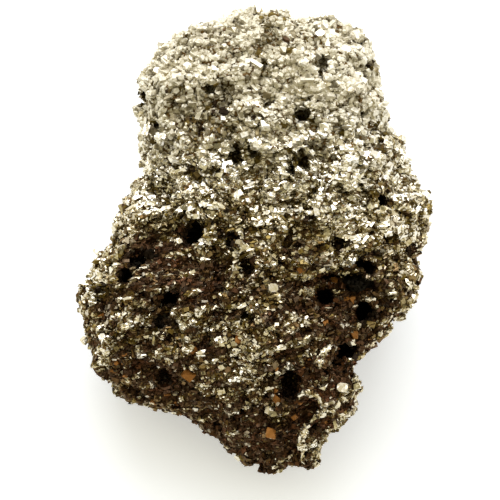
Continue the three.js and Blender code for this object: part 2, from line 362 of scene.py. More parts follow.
def row_share(place):
    """0 at the lip of a row of crystals, and 1 just under the lip of the next row up the face."""
    along_face = place.dot(image_up) * math.cos(ROW_RISE) - place.x * math.sin(ROW_RISE)
    return (along_face / ROW_STEP + ROW_SWAY * noise.noise(place / ROW_SWAY_SCALE)) % 1


def row_height(place):
    """A saw's teeth up the face: each row slopes in and then steps out again."""
    strength = ROW_STRENGTH + ROW_VARIETY * noise.noise(place / ROW_PATCH)
    return ROW_HEIGHT * strength * (MEAN - row_share(place))


# %% The skin's height
FINE_SCALE = 0.6 * MM
FINE_HEIGHT = 0.22 * MM
ROUGH_MIDDLE = 4 * MM  # up the face from the lump's middle, where the skin is roughest
ROUGH_BAND = 12 * MM  # and how far from there it gets smoother
END_ROUGHNESS = 0.6
BACK_ROUGHNESS = 1.1
FULL_BACK = 0.5  # how far a normal turns away from the camera where the back is as rough as it gets


def skin_height(place, normal):
    """How far the body's skin stands off its own middle level, for one point of it."""
    fine = FINE_HEIGHT * noise.noise(place / FINE_SCALE)
    off_middle = ((place - middle).dot(image_up) - ROUGH_MIDDLE) / ROUGH_BAND
    strength = END_ROUGHNESS + (1 - END_ROUGHNESS) * math.exp(-(off_middle**2))
    strength = max(strength, BACK_ROUGHNESS * min(-normal.dot(toward_camera) / FULL_BACK, 1))
    return strength * (knob_height(place, normal) + row_height(place)) + fine


# %% [markdown]
# ## Small pits and ridges
#
# The solid has the open pits, and the photograph shows smaller ones too, crisp ridges on the nose, on the
# right rim and at the left edge, and one smooth facet. They could be carved one by one in sculpt mode. Here
# each is listed by its pixels, found on the solid by a ray from the camera, and added to the heights of
# the points near it. Last, the whole skin sinks a little, so that the crystals' tips come to where the
# solid's surface was.

# %% Small pits
SMALL_PITS = (  # x and y in the photograph's pixels, then width and height in millimetres
    (184, 201, 0.9, 1.1), (211, 178, 0.9, 1.0), (390, 198, 1.1, 1.4), (268, 232, 0.9, 1.3),
    (266, 244, 0.8, 1.0), (267, 103, 0.8, 0.8), (331, 372, 1.0, 1.3), (243, 414, 0.9, 1.1),
    (242, 320, 0.7, 2.0), (281, 335, 0.6, 1.8), (317, 431, 1.0, 1.2),
    (194, 236, 1.7, 3.0), (137, 263, 1.2, 1.6), (146, 257, 1.9, 0.9), (129, 276, 1.2, 1.8),
    (174, 297, 1.8, 2.4), (164, 315, 1.3, 3.0), (322, 68, 1.0, 2.4), (386, 199, 1.2, 2.0),
    (193, 133, 0.9, 1.2), (147, 147, 1.0, 1.7), (291, 165, 1.2, 2.0),
    (324, 297, 1.8, 1.3), (333, 284, 1.7, 1.4), (364, 269, 2.0, 1.9),
    (344, 351, 1.4, 1.5), (339, 364, 1.3, 1.6), (388, 240, 1.2, 1.2),
    (363, 311, 2.3, 2.6),
)
SMALL_PIT_DEPTH = 2.4 * MM
SMALL_PIT_REACH = 3 * MM  # in front of its mouth and behind it
SMALL_PIT_STEEPNESS = 1.4


def small_pit_shares(places):
    """1 in the middle of each small pit, falling to 0 at its mouth. Pits that meet add up."""
    shares = np.zeros(len(places))
    for pixel_x, pixel_y, width, height in SMALL_PITS:
        away = places - spot_at(pixel_x, pixel_y)
        across = away @ np.array(image_right) / (width * MM / 2)
        up = away @ np.array(image_up) / (height * MM / 2)
        depth = away @ np.array(toward_camera) / SMALL_PIT_REACH
        shares += np.clip(SMALL_PIT_STEEPNESS * (1 - across**2 - up**2 - depth**2), 0, 1)
    return shares


small_pits = small_pit_shares(places_of(body.data))
print(len(SMALL_PITS), "small pits over", (small_pits > 0).sum(), "points")

# %% Ridges
RIDGES = (  # x and y in the photograph's pixels, from end to end
    ((353, 368), (357, 380), (360, 391), (359, 402), (352, 412), (343, 418), (337, 428)),
    ((337, 428), (328, 434), (321, 443), (318, 452), (320, 460), (316, 467)),
    ((300, 393), (310, 391), (318, 398), (322, 408), (321, 416), (313, 421), (307, 427)),
    ((307, 427), (304, 435), (300, 443), (302, 452), (303, 462)),
    ((332, 345), (322, 355), (320, 366)),
    ((417, 284), (418, 293), (410, 302), (406, 312), (398, 320), (396, 328), (385, 338)),
    ((100, 254), (92, 270), (80, 284)),
)
RIDGE_HEIGHT = 0.6 * MM
RIDGE_WIDTH = 0.4 * MM


def ridge_stretches():
    """The start and the end of each straight stretch of the ridges."""
    for line in RIDGES:
        points = [spot_at(*pixel) for pixel in line]
        yield from zip(points, points[1:])


def ridge_share(places):
    """1 along the ridges' lines, falling off to 0 on both sides."""
    nearest = np.full(len(places), np.inf)
    for start, end in ridge_stretches():
        line = end - start
        along = np.clip((places - start) @ line / (line @ line), 0, 1)
        nearest = np.minimum(nearest, np.linalg.norm(places - start - along[:, None] * line, axis=1))
    return np.exp(-((nearest / RIDGE_WIDTH) ** 2))


print(len(RIDGES), "ridges of", len(list(ridge_stretches())), "straight stretches")

# %% Roughening
SUNK = 0.36 * MM  # the body's skin under the solid's surface
SHUT_WALL = 0.1  # openness at which a wall is only sunk
OPEN_SKIN = 0.7  # and at which the skin is as rough as it gets
SMOOTH_FACET = (160, 250, 3.2)  # x and y in the photograph's pixels, then the radius in millimetres
SMOOTHNESS = 0.7


def roughen(mesh):
    """Moves each point of the body along its normal, inside the solid's box."""
    places = places_of(mesh)
    normals = normals_of(mesh)
    heights = np.array([skin_height(Vector(p), Vector(n)) for p, n in zip(places, normals)])
    heights *= np.clip((solid_open - SHUT_WALL) / (OPEN_SKIN - SHUT_WALL), 0, 1)
    pixel_x, pixel_y, radius = SMOOTH_FACET
    away = np.linalg.norm(places - spot_at(pixel_x, pixel_y), axis=1)
    heights *= 1 - SMOOTHNESS * np.exp(-((away / (radius * MM)) ** 4))
    heights += RIDGE_HEIGHT * ridge_share(places) - SMALL_PIT_DEPTH * small_pits - SUNK
    places = np.clip(places + normals * heights[:, None], low, high)
    mesh.vertices.foreach_set("co", places.ravel())
    mesh.update()


roughen(body.data)
body_places = places_of(body.data)
body_normals = normals_of(body.data)
body_open = openness_of(body.data)
print_spread("openness of the body", body_open)

# %% [markdown]
# ## Where the tarnish is
#
# Pyrite tarnishes from pale brass to brown. On this lump the upper end is nearly clean and the lower half
# is brown, partly by tarnish and partly as painted shade, with streaks along the rows and lips of the rows
# that have stayed bright. Gaps are browner than open places, by tarnish and by painted shade, and the
# photograph shows patches of both kinds. A noise in the shader could make it, but then a crystal would be
# brown on one side only. So the tarnish and its painted shade are worked out here, once for each point of
# the body, and every crystal takes one value from the place it grows on.

# %% Tarnish and painted shade along the face
ROW_DIRECTION = math.cos(ROW_RISE) * image_right + math.sin(ROW_RISE) * image_up
ROW_UP = math.cos(ROW_RISE) * image_up - math.sin(ROW_RISE) * image_right
CLEAN_ABOVE = 8 * MM  # up the face from the lump's middle
BROWN_BELOW = -8 * MM
STREAK_LENGTH = 3.0 * MM
STREAK_WIDTH = 0.7 * MM
STREAK_EDGE = 0.08  # of the noise that makes the streaks
STREAK_STRENGTH = 2.0
PATCH = 6 * MM
LIP_SHARE = 0.45  # of a row is cleaner than its middle, and the rest is browner
CLEAN_LIP = 0.65
UPPER_TARNISH = 0.05
# The lower half's brown is partly tarnish and partly painted shade.
DOWN_TARNISH_AND_SHADE = 0.9  # more at the lower limit than at the upper one
FURTHEST_DOWN = 1.1  # where it stops rising, as a share of the way between the two
PATCH_TARNISH = 0.3


def tarnish_of(place):
    """0 where the metal is clean, 1 where it is brown all over. The brown of the lower half is partly
    painted shade.
    """
    along_face = (place - middle).dot(image_up)
    down = (CLEAN_ABOVE - along_face) / (CLEAN_ABOVE - BROWN_BELOW)
    along_row = place.dot(ROW_DIRECTION)
    across_row = place.dot(ROW_UP)
    streak = noise.noise(Vector((along_row / STREAK_LENGTH, across_row / STREAK_WIDTH, place.z / PATCH)))
    patch = noise.noise(place / PATCH)
    lip = LIP_SHARE - row_share(place)
    clean = STREAK_STRENGTH * max(streak - STREAK_EDGE, 0) + CLEAN_LIP * lip
    return UPPER_TARNISH + DOWN_TARNISH_AND_SHADE * min(max(down, 0), FURTHEST_DOWN) + PATCH_TARNISH * patch - clean


body_tarnish_and_shade = np.array([tarnish_of(Vector(place)) for place in body_places])
print_spread("tarnish along the face", body_tarnish_and_shade)

# %% Darker and paler patches that the photograph shows: tarnish and painted shade, clean metal and painted light
# Darker patches: partly tarnish, partly painted shade.
DARK_PATCHES_TARNISH_AND_SHADE = (  # x and y in the photograph's pixels, then the radius in millimetres and the strength
    (158, 250, 4.0, 1.15), (345, 288, 3.8, 0.5), (150, 380, 5.0, 0.4), (255, 445, 6.0, 0.4),
    (290, 332, 2.4, 0.8), (310, 238, 3.0, 0.45), (200, 285, 3.0, 0.3), (335, 410, 6.0, 0.75),
    (173, 102, 1.6, 0.5), (216, 96, 1.4, 0.6), (229, 87, 1.2, 0.45), (286, 107, 1.6, 0.6),
    (338, 107, 1.8, 0.4), (320, 127, 1.2, 0.6), (198, 134, 2.6, 0.6), (225, 135, 1.3, 0.5),
    (277, 143, 1.2, 0.5), (305, 157, 2.0, 0.6), (343, 150, 1.8, 0.6), (240, 245, 6.0, 0.12),
    (180, 172, 1.4, 0.15), (280, 260, 2.0, 0.3), (388, 188, 2.6, 0.8), (350, 200, 1.6, 0.3),
    (400, 216, 3.0, 0.35), (275, 36, 5.0, 0.3), (205, 127, 1.6, 0.6), (184, 143, 1.4, 0.4),
    (168, 87, 2.4, 0.4), (287, 133, 1.6, 0.5), (299, 104, 1.4, 0.4), (178, 120, 1.6, 0.5),
    (250, 128, 1.4, 0.4), (210, 58, 2.4, 0.35), (311, 60, 2.0, 0.35), (306, 35, 2.4, 0.3),
    (362, 112, 2.4, 0.4), (287, 112, 1.6, 0.3), (360, 160, 2.0, 0.35), (248, 212, 2.6, 0.2),
    (135, 287, 1.8, 0.3), (188, 338, 2.0, 0.3),
)
# Paler patches: partly clean metal, partly painted light where a slope faces away from the lamp.
PALE_PATCHES_CLEAN_AND_LIT = (
    (93, 272, 2.4, -0.9), (84, 292, 1.6, -0.7), (104, 344, 2.2, -0.4), (150, 216, 3.5, -0.5),
    (180, 316, 1.8, -0.4), (330, 225, 5.0, -0.2), (320, 165, 8.0, -0.7), (308, 86, 3.6, -1.1),
    (180, 150, 6.0, -0.3), (424, 222, 2.5, -0.4), (413, 272, 2.5, -0.3), (166, 188, 3.0, -0.8),
    (258, 170, 2.4, -0.8), (236, 262, 1.8, -0.5), (158, 336, 2.4, -0.8), (246, 347, 3.8, -0.35),
    (262, 400, 2.6, -0.4), (360, 187, 2.4, -0.4), (212, 188, 2.0, -0.4), (200, 210, 2.4, -0.25),
    (132, 336, 1.8, -0.3), (250, 338, 3.0, -0.3),
)


def patches(places):
    """Extra tarnish and painted shade where the photograph shows the lump darkest, and less, as painted
    light, where it is palest.
    """
    total = np.zeros(len(places))
    for pixel_x, pixel_y, radius, strength in DARK_PATCHES_TARNISH_AND_SHADE + PALE_PATCHES_CLEAN_AND_LIT:
        away = np.linalg.norm(places - spot_at(pixel_x, pixel_y), axis=1)
        total += strength * np.exp(-((away / (radius * MM)) ** 2))
    return total


# Shut-in places get browner: tarnish and painted shade.
GAP_TARNISH_AND_SHADE = 0.8
GAP_OPENNESS = 0.5  # openness at which a place is neither cleaner nor browner than the rest
RIDGE_CLEANNESS = 0.8

body_tarnish_and_shade += patches(body_places) + GAP_TARNISH_AND_SHADE * (GAP_OPENNESS - body_open)
body_tarnish_and_shade -= RIDGE_CLEANNESS * ridge_share(body_places) ** 3
print_spread("tarnish with patches and gaps", body_tarnish_and_shade)

# %% [markdown]
# ## Sides, wear, dirt and painted shade
#
# The camera sees the sides of the real lump at a slant, where they look duller than the face; here that is
# painted shade, brown and dark, on the sides. The back isn't in the photograph, so it is taken as browner
# and less worn. The upper end is rubbed, which takes the mirror shine off its crystals. A second material
# could hold the worn part, but wear comes on slowly, so it is one more number for each point. So are the
# share of the crystals that flash and how clear a place is of dirt and painted shade. Both follow how shut
# in a place is, and the small pits hold more of them.

# %% Sides, wear, dirt and painted shade
LEAST_TARNISH = -0.4  # below 0 the metal gets paler
MOST_TARNISH = 1.4  # above 1 it turns from brown to a ruddy brown
SIDE_FACING = 0.5  # a side starts where its normal turns to the camera by less than this
# Sides turned from the camera get painted shade: browner, and darker in the gaps' colour.
PAINTED_SIDE_SHADE = 0.15
PAINTED_SIDE_DARKENING = 0.2
BACK_TARNISH = 0.5
BACK_RISE = 1.5  # how fast the back's tarnish comes on as a normal turns away
WORN_FROM = 0.5 * MM  # up the face from the lump's middle
WORN_ALL_OVER = 18 * MM
WORN_BACK = 0.3  # wear on the back, against the face
WORN_TURN = (-0.3, 0.2)  # from the back's wear to the face's, by how far a normal turns to the camera
MOST_SHINE = 0.72
PIT_DIRT_AND_SHADE = 0.7

facing = body_normals @ np.array(toward_camera)
turned_away = np.clip(1 - facing / SIDE_FACING, 0, 1)
body_tarnish_and_shade += PAINTED_SIDE_SHADE * turned_away + BACK_TARNISH * np.clip(-BACK_RISE * facing, 0, 1)
up_the_face = (body_places - np.array(middle)) @ np.array(image_up)
body_worn = np.interp(up_the_face, (WORN_FROM, WORN_ALL_OVER), (0, 1))
body_worn *= np.interp(facing, WORN_TURN, (WORN_BACK, 1))
body_shine = np.clip(MOST_SHINE * (1 - body_tarnish_and_shade), 0, 1) ** 2  # share of the crystals that flash
body_tarnish_and_shade = np.clip(body_tarnish_and_shade, LEAST_TARNISH, MOST_TARNISH)
# How clear a place is of dirt and painted shade: less on the sides, which is painted shade, and less in the
# small pits, which is dirt and painted shade.
body_clear_of_dirt_and_shade = body_open - PAINTED_SIDE_DARKENING * turned_away - PIT_DIRT_AND_SHADE * small_pits
store(body.data, "openness", body_clear_of_dirt_and_shade)
store(body.data, "tarnish", body_tarnish_and_shade)
print_spread("tarnish with the sides and the back", body_tarnish_and_shade)
print_spread("share of the crystals that flash", body_shine)

# %% [markdown]
# ## Crystal shapes
#
# Pyrite grows as cubes, as octahedra and as pyritohedra, which have twelve five-sided faces. In a lump
# like this most are crowded and broken, so there are chips, and halves whose lower part is inside the
# lump, and worn ones that look round. Each shape could be typed in as corners and faces. Here it is made
# once, about one unit across, from a bmesh primitive: corners are bevelled off a cube, or planes cut it
# and the cuts are filled. All have few faces, because each is repeated thousands of times.

# %% Whole crystals
def shape_arrays(shape):
    """The corners and the triangles of a finished shape, about one unit across."""
    bmesh.ops.triangulate(shape, faces=shape.faces)
    bmesh.ops.recalc_face_normals(shape, faces=shape.faces)
    points = np.array([v.co[:] for v in shape.verts])
    triangles = np.array([[v.index for v in f.verts] for f in shape.faces])
    shape.free()
    return points, triangles


CUBE_SIDE = 0.85
CORNER_CUT = 0.22
POINTED_RADIUS = 0.62
GRAIN_RADIUS = 0.55
HALF_HEIGHT = 0.8


def simple_shape(primitive, **settings):
    shape = bmesh.new()
    primitive(shape, **settings)
    return shape_arrays(shape)


def half_crystal(sides, top):
    """The upper part of a crystal whose lower part is inside the lump: a pyramid, or a blunt one."""
    size = {"radius1": POINTED_RADIUS, "radius2": top, "depth": HALF_HEIGHT}
    return simple_shape(bmesh.ops.create_cone, cap_ends=True, cap_tris=False, segments=sides, **size)


def cornered_cube():
    shape = bmesh.new()
    bmesh.ops.create_cube(shape, size=CUBE_SIDE)
    flat = {"affect": "VERTICES", "segments": 1, "profile": 0.5, "material": -1}
    bmesh.ops.bevel(shape, geom=shape.verts[:], offset=CORNER_CUT, **flat)
    return shape_arrays(shape)


CUBE = simple_shape(bmesh.ops.create_cube, size=CUBE_SIDE)
GRAIN = simple_shape(bmesh.ops.create_icosphere, subdivisions=1, radius=GRAIN_RADIUS)  # it looks round
OCTAHEDRON = simple_shape(bmesh.ops.create_uvsphere, u_segments=4, v_segments=2, radius=POINTED_RADIUS)
print("triangles: cube", len(CUBE[1]), "grain", len(GRAIN[1]), "octahedron", len(OCTAHEDRON[1]))

# %% Crystals and chips that planes cut
PYRITOHEDRON_RADIUS = 0.46
CHIP_SIDE = 0.95


def cut_flat(shape, normal, distance):
    """Cuts a closed shape with a plane and closes the cut."""
    everything = shape.verts[:] + shape.edges[:] + shape.faces[:]
    cut = bmesh.ops.bisect_plane(
        shape, geom=everything, plane_co=distance * normal, plane_no=normal, clear_outer=True
    )
    rim = [part for part in cut["geom_cut"] if isinstance(part, bmesh.types.BMEdge)]
    bmesh.ops.holes_fill(shape, edges=rim)


def pyritohedron():
    """Twelve faces, whose normals are (1, 2, 0) and what its turns and mirrors give."""
    shape = bmesh.new()
    bmesh.ops.create_cube(shape, size=2)
    for first in (-1, 1):
        for second in (-2, 2):
            for normal in ((first, second, 0), (0, first, second), (second, 0, first)):
                cut_flat(shape, Vector(normal).normalized(), PYRITOHEDRON_RADIUS)
    return shape_arrays(shape)


def chip(*cuts):
    """A broken piece: a cube with slanting cuts, each with its normal and its distance from the middle."""
    shape = bmesh.new()
    bmesh.ops.create_cube(shape, size=CHIP_SIDE)
    for normal, distance in cuts:
        cut_flat(shape, Vector(normal).normalized(), distance)
    return shape_arrays(shape)


SPLIT = chip(((1, 0.6, 0.3), 0.18))
WEDGE = chip(((0.3, 1, 0.9), 0.1), ((-0.8, 0.3, 1), 0.3))
SHARD = chip(((0.9, -0.4, 0.8), 0.15), ((-1, -0.5, 0.4), 0.2), ((0.2, 1, 0.5), 0.3))
SPIKE = half_crystal(sides=3, top=0)
PYRAMID = half_crystal(sides=4, top=0)
STUMP = half_crystal(sides=3, top=0.34)
BLUNT = half_crystal(sides=5, top=0.4)
FINE_SHAPES = (OCTAHEDRON, SPIKE, PYRAMID, STUMP, CUBE)
MIDDLING_SHAPES = (GRAIN, CUBE, WEDGE, SHARD, BLUNT)
BRIGHT_SHAPES = (GRAIN, SPLIT, CUBE, BLUNT)
LARGE_SHAPES = (pyritohedron(), cornered_cube(), GRAIN, SPLIT, WEDGE)
print("triangles in the fine shapes:", [len(faces) for points, faces in FINE_SHAPES])
print("triangles in the middling shapes:", [len(faces) for points, faces in MIDDLING_SHAPES])
print("triangles in the large shapes:", [len(faces) for points, faces in LARGE_SHAPES])

# %% [markdown]
# ## Growing the crystals
#
# Instances would be light in the file, but they are dropped when the meshes are written out. So the
# crystals of one size are joined in one mesh: numpy turns, stretches and places all copies of a shape at
# once, and the triangles are repeated with their numbers shifted. A seeded generator gives the same
# lump each time. Part of the crystals lie along the rows, as they do on the real face, and most lie
# with a flat face outwards, which gives each part of the lump its own sheen. On clean places some turn a
# face so that it mirrors the light into the camera, which makes the flashes.

# %% Spots to grow on
generator = np.random.default_rng(SEED)


def triangles_of(mesh):
    mesh.calc_loop_triangles()
    flat = np.empty(3 * len(mesh.loop_triangles), dtype=np.int32)
    mesh.loop_triangles.foreach_get("vertices", flat)
    return flat.reshape(-1, 3)


def unit(vectors):
    return vectors / np.linalg.norm(vectors, axis=1)[:, None]


body_triangles = triangles_of(body.data)
sides = body_places[body_triangles]
crossed = np.cross(sides[:, 1] - sides[:, 0], sides[:, 2] - sides[:, 0])
body_areas = np.linalg.norm(crossed, axis=1) / 2
triangle_open = body_open[body_triangles].mean(axis=1)
triangle_up = body_normals[body_triangles].mean(axis=1)[:, 2]
triangle_shine = body_shine[body_triangles].mean(axis=1)
DENSITY_BELOW = 0.45  # on the sides and the underside, against the face
FROM_BELOW = (-0.2, 0.3)  # from the underside's density to the face's, by a normal's upward part
GROWTH_RISE = 3  # how fast crystals get more frequent as a place gets more open
print("surface of the body:", round(body_areas.sum() / MM**2), "square mm")


def spots(number, least_open, bright):
    """Random spots on the body, fewer below and in gaps: places, normals, shine and marks."""
    chance = body_areas * np.clip((triangle_open - least_open) * GROWTH_RISE, 0, 1)
    chance = chance * np.interp(triangle_up, FROM_BELOW, (DENSITY_BELOW, 1))
    if bright:
        chance = chance * triangle_shine
    picked = generator.choice(len(chance), number, p=chance / chance.sum())
    shares = generator.dirichlet((1, 1, 1), number)
    at = body_triangles[picked]
    place = (body_places[at] * shares[:, :, None]).sum(axis=1)
    normal = unit((body_normals[at] * shares[:, :, None]).sum(axis=1))
    mark = {
        "openness": (body_clear_of_dirt_and_shade[at] * shares).sum(axis=1),
        "tarnish": (body_tarnish_and_shade[at] * shares).sum(axis=1),
        "worn": (body_worn[at] * shares).sum(axis=1),
        "tone": generator.random(number),
        "stain": generator.random(number),
        "rim": np.zeros(number),
    }
    return place, normal, (body_shine[at] * shares).sum(axis=1), mark


# %% Turns of the crystals
FACING_OUT = 0.36  # spread of the outward faces, for those that lie flat
FREE = 1.5  # the same for those that lie anyhow
BRIGHT_SIDE = Vector((0.21, 0.75, 0.62)).normalized()  # where most of the light comes from
FLASH = (toward_camera + BRIGHT_SIDE).normalized()  # a face turned so mirrors it into the camera
FLASH_SPREAD = 0.2
FLASH_REACH = 0.3  # a place turned less than this to the flash has none
ROW_STRAY = 0.35  # how far a long side strays from its row
LYING = 0.9  # how far the long sides are laid down along the skin


def across(vectors, axes):
    """The part of each vector that runs along its axis."""
    return axes * (vectors * axes).sum(axis=1)[:, None]


def turns_along(first, third):
    """Turns with this third axis, and with a first axis as near to this one as that allows."""
    first = unit(first - across(first, third))
    return np.stack((first, np.cross(third, first), third), axis=2)


def turns(normals, in_rows, flat_share, flash_share):
    """A turn for each crystal. Its third axis is a flat face's, and its first may lie along the row."""
    number = len(normals)
    spread = np.where(generator.random(number) < flat_share, FACING_OUT, FREE)
    third = normals + spread[:, None] * generator.normal(size=(number, 3))
    flashing = np.array(FLASH) + FLASH_SPREAD * generator.normal(size=(number, 3))
    chosen = (generator.random(number) < flash_share) & (normals @ np.array(FLASH) > FLASH_REACH)
    loose = generator.normal(size=(number, 3))
    rows = generator.random(number) < in_rows
    first = np.where(rows[:, None], np.array(ROW_DIRECTION) + ROW_STRAY * loose, loose)
    first = unit(first - LYING * across(first, normals))
    third = unit(np.where(chosen[:, None], flashing, third - across(third, first)))
    return turns_along(first, third)


# %% Joined crystals
CELL_MARGIN = 0.2  # of the cell that each crystal has in the bake's map


def bake_cells(number, order):
    """The lower left corner of each crystal's cell, those of like tone side by side."""
    across = math.ceil(math.sqrt(number))
    rank = np.empty(number, dtype=np.int64)
    rank[order] = np.arange(number)
    return np.stack((rank % across, rank // across), axis=1) / across, 1 / across


def joined(name, parts):
    """One mesh of many crystals. A part is a shape, and a place, turn, stretch and marks for each copy."""
    points, triangles, owners, marks = [], [], [], []
    first_point = 0
    first_crystal = 0
    for (shape_points, shape_triangles), place, turn, stretch, mark in parts:
        copies = np.einsum("nij,nkj->nki", turn, shape_points[None] * stretch[:, None]) + place[:, None]
        points.append(copies.reshape(-1, 3))
        shift = first_point + len(shape_points) * np.arange(len(place))
        triangles.append((shape_triangles[None] + shift[:, None, None]).reshape(-1, 3))
        owners.append(np.repeat(first_crystal + np.arange(len(place)), len(shape_triangles)))
        marks.append((mark, len(shape_points)))
        first_point += copies.shape[0] * copies.shape[1]
        first_crystal += len(place)
    mesh = bpy.data.meshes.new(name)
    mesh.from_pydata(np.clip(np.concatenate(points), low, high), [], np.concatenate(triangles))
    for key in marks[0][0]:
        store(mesh, key, np.concatenate([np.repeat(mark[key], count) for mark, count in marks]))
    tarnish = np.concatenate([mark["tarnish"] + mark["tone"] for mark, count in marks])
    cells, width = bake_cells(first_crystal, np.argsort(tarnish))
    corner = np.array(((0, 0), (1, 0), (0, 1))) * (1 - 2 * CELL_MARGIN) + CELL_MARGIN
    layer = mesh.uv_layers.new(name="OFBake")
    owner = np.concatenate(owners)
    layer.uv.foreach_set("vector", (cells[owner][:, None] + corner[None] * width).ravel())
    return made_piece(name, mesh)


def sorted_by_shape(shapes, which, place, turn, stretch, mark):
    """The parts that joined takes. Which says for each crystal what shape it has, by number."""
    parts = []
    for i, shape in enumerate(shapes):
        of = which == i
        parts.append((shape, place[of], turn[of], stretch[of], {key: mark[key][of] for key in mark}))
    return parts


def open_marks(number, tone, stain, tarnish):
    """Marks of crystals on open and unworn skin. Each value is one number, or one for each crystal."""
    values = {"openness": 1, "tarnish": tarnish, "worn": 0, "tone": tone, "stain": stain, "rim": 0}
    return {key: np.full(number, value, dtype=float) for key, value in values.items()}


# %% [markdown]
# ## Kinds of crystals
#
# The lump has a few large crystals, middling ones all over, bright chips on its clean places and fine ones
# in every gap. One scatter with a wide range of sizes would make them all, but it couldn't tell which
# crystal lies beside which. So the larger kinds grow first, and a fine crystal just beside a larger one
# is darkened with dirt and painted contact shade, which draws thin dark outlines like those of the real
# piece. Towards the upper end the crystals are larger and rounder and lie less in rows, and on the hidden
# sides they are fewer and larger.

# %% Kinds of crystals
@dataclass
class Kind:
    """One size of crystal, and how it grows. Shares are of all its crystals."""

    number: int
    sizes: tuple
    shapes: tuple
    in_rows: float  # share whose long side lies along the rows
    flat_share: float  # share with a flat face outwards
    slivers: float  # share that is long and thin
    least_open: float  # openness from which on it grows
    stand: float  # how far its middle is from the skin, in its own sizes
    bright: bool = False  # grows on clean places, and most of it flashes
    fills_gaps: bool = False  # is darkened with dirt and painted shade beside the larger crystals, which grow before it


# %% Rims of the larger crystals
RIM = (0.35, 0.5, 0.7, 0.95)  # where a rim starts, is whole and ends, in sizes from a crystal's middle
larger_places, larger_sizes = [], []


def rim_shares(places):
    """1 for a place just beside one of the larger crystals, and 0 on it or away from it."""
    centres = np.concatenate(larger_places)
    sizes = np.concatenate(larger_sizes)
    tree = KDTree(len(centres))
    for i, centre in enumerate(centres):
        tree.insert(centre, i)
    tree.balance()
    nearest = [tree.find(place)[1:] for place in places]
    off = np.array([distance / sizes[i] for i, distance in nearest])
    return np.interp(off, RIM, (0, 1, 1, 0))


# %% Growing one kind
SMALL_BIAS = 1.8  # above 1, small crystals are more frequent than large ones
LEAST_SIDES = (0.9, 0.75, 0.5)  # of a crystal, against its size
MOST_SIDES = (1.4, 1.1, 0.85)
SIZE_BELOW = 1.4  # on the sides and the underside, against the face
SIZE_TURN = (-0.3, 0.3)  # from the one to the other, by a normal's upward part
FACE_ENDS = (-20 * MM, 20 * MM)  # up the face from the lump's middle, as are the next two
ROWS_FADE = (0, 14 * MM)
ROUND_RISE = (4 * MM, 18 * MM)
SIZE_UP_THE_FACE = (0.84, 1.25)  # at its lower and its upper end
ROWS_ABOVE = 0.3  # how much of the rows and the slivers is left at the upper end
ROUND_SHARE = 0.7  # of the crystals at the upper end have the first and roundest shape
ROUND_SIDES = np.array((1.05, 0.95, 0.85))  # the three sides of a round crystal
ROUNDING = 0.6  # how near the others get to them
SLIVER = (1.9, 0.75, 0.85)  # what being long and thin does to the three sides of a crystal
SLIVER_TURN = (0.1, 0.5)  # upward part of a normal over which slivers come in
BRIGHT_FLASH = 0.7  # share of the bright kind that flashes
STAND_SPREAD = 0.15


def grow(name, kind):
    """Grows one kind of crystal all over the body."""
    number = kind.number
    place, normal, shine, mark = spots(number, kind.least_open, kind.bright)
    along_face = (place - np.array(middle)) @ np.array(image_up)
    smallest, largest = kind.sizes
    size = smallest + (largest - smallest) * generator.random(number) ** SMALL_BIAS
    size *= np.interp(normal[:, 2], SIZE_TURN, (SIZE_BELOW, 1))
    size *= np.interp(along_face, FACE_ENDS, SIZE_UP_THE_FACE)
    stretch = size[:, None] * generator.uniform(LEAST_SIDES, MOST_SIDES, (number, 3))
    rounded = np.interp(along_face, ROUND_RISE, (0, ROUND_SHARE))
    stretch += (size[:, None] * ROUND_SIDES - stretch) * ROUNDING * rounded[:, None]
    lower = np.interp(along_face, ROWS_FADE, (1, ROWS_ABOVE))
    slivers = kind.slivers * lower * np.interp(normal[:, 2], SLIVER_TURN, (0, 1))
    stretch[generator.random(number) < slivers] *= SLIVER
    flash_share = BRIGHT_FLASH if kind.bright else shine
    turn = turns(normal, kind.in_rows * lower, kind.flat_share, flash_share)
    stand = generator.uniform(kind.stand - STAND_SPREAD, kind.stand + STAND_SPREAD, number)
    place = place + normal * (size * stand)[:, None]
    if kind.fills_gaps:
        # The rim mark darkens the crystal with dirt and painted contact shade.
        mark["rim"] = rim_shares(place)
    else:
        larger_places.append(place)
        larger_sizes.append(size)
    which = generator.integers(len(kind.shapes), size=number)
    which[generator.random(number) < rounded] = 0
    piece = joined(name, sorted_by_shape(kind.shapes, which, place, turn, stretch, mark))
    print(name, number, "crystals,", len(piece.data.polygons), "triangles")
    return piece


# %% The crystals, by size
LARGE = Kind(
    number=80, sizes=(0.8 * MM, 1.1 * MM), shapes=LARGE_SHAPES,
    in_rows=0.2, flat_share=0.9, slivers=0, least_open=0.65, stand=-0.35,
)
MIDDLING = Kind(
    number=8000, sizes=(0.5 * MM, 0.95 * MM), shapes=MIDDLING_SHAPES,
    in_rows=0.5, flat_share=0.7, slivers=0, least_open=0.3, stand=-0.05,
)
BRIGHT = Kind(
    number=4000, sizes=(0.38 * MM, 0.8 * MM), shapes=BRIGHT_SHAPES,
    in_rows=0.9, flat_share=0.6, slivers=0.7, least_open=0.4, stand=0.1, bright=True,
)
FINE = Kind(
    number=20000, sizes=(0.24 * MM, 0.56 * MM), shapes=FINE_SHAPES,
    in_rows=0.7, flat_share=0.6, slivers=0.4, least_open=-0.3, stand=0.05, fills_gaps=True,
)
FINE_PIECES = 4  # so that none has too many triangles

crystals = [grow("large_crystals", LARGE)]
crystals.append(grow("middling_crystals", MIDDLING))
crystals.append(grow("bright_chips", BRIGHT))
crystals += [grow(f"fine_crystals_{i + 1}", FINE) for i in range(FINE_PIECES)]

# %% [markdown]
# ## Crystals along the ridges
#
# The ridges on the nose, on the right rim and at the left edge are pale lines in the photograph, made of
# clean chips that overlap like tiles. A bright stripe in the material would stay flat. So long chips are
# laid end to end along the same lines that raised the body, most with a face turned near to the light.

